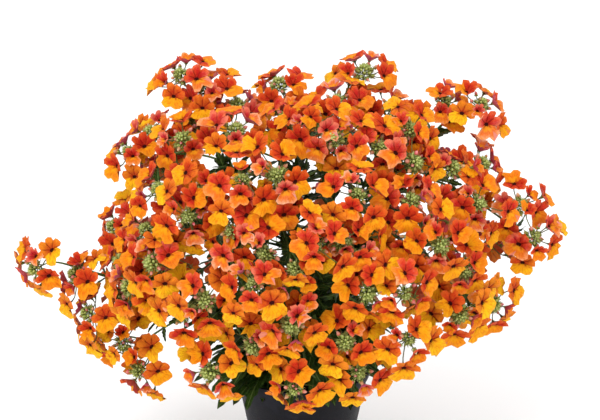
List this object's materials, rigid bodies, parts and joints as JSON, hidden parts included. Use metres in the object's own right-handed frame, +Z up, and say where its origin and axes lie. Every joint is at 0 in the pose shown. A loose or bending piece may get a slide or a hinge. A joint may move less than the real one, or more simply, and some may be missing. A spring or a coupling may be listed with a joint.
{
  "type": "potted nemesia",
  "caption": "Nemesia in a tapered nursery pot: a loose dome of leafy stems with sprays of lipped orange and yellow flowers round green bud tufts.",
  "frame": {"origin": "centre of the pot's underside, in the plane that it stands on", "axes": "+Z up along the pot's axis; +X to the right as seen in the picture, along the plant's width; +Y away from the viewer"},
  "size_m": [0.5061, 0.3239, 0.393],
  "materials": {
    "petals": "satin",
    "foliage": "satin",
    "pot": "satin",
    "soil": "matte"
  },
  "bodies": {
    "root": {"pot": "pot", "soil": "soil", "leafy_stem_01": "foliage", "leafy_stem_02": "foliage", "leafy_stem_03": "foliage", "leafy_stem_04": "foliage", "leafy_stem_05": "foliage", "leafy_stem_06": "foliage", "leafy_stem_07": "foliage", "leafy_stem_08": "foliage", "leafy_stem_09": "foliage", "leafy_stem_10": "foliage", "leafy_stem_11": "foliage", "leafy_stem_12": "foliage", "leafy_stem_13": "foliage", "flower_spray_01": "petals", "flower_spray_02": "petals", "flower_spray_03": "petals", "flower_spray_04": "petals", "flower_spray_05": "petals", "flower_spray_06": "petals", "flower_spray_07": "petals", "flower_spray_08": "petals", "flower_spray_09": "petals", "flower_spray_10": "petals", "flower_spray_11": "petals", "flower_spray_12": "petals", "flower_spray_13": "petals", "flower_spray_14": "petals", "flower_spray_15": "petals", "flower_spray_16": "petals", "flower_spray_17": "petals", "flower_spray_18": "petals", "flower_spray_19": "petals", "flower_spray_20": "petals", "flower_spray_21": "petals", "flower_spray_22": "petals", "flower_spray_23": "petals", "flower_spray_24": "petals", "flower_spray_25": "petals", "flower_spray_26": "petals", "flower_spray_27": "petals", "flower_spray_28": "petals", "flower_spray_29": "petals", "flower_spray_30": "petals", "flower_spray_31": "petals", "flower_spray_32": "petals", "flower_spray_33": "petals", "flower_spray_34": "petals", "flower_spray_35": "petals", "flower_spray_36": "petals", "flower_spray_37": "petals", "flower_spray_38": "petals", "flower_spray_39": "petals", "flower_spray_40": "petals", "flower_spray_41": "petals", "flower_spray_42": "petals", "flower_spray_43": "petals", "flower_spray_44": "petals", "flower_spray_45": "petals"}
  },
  "joints": []
}
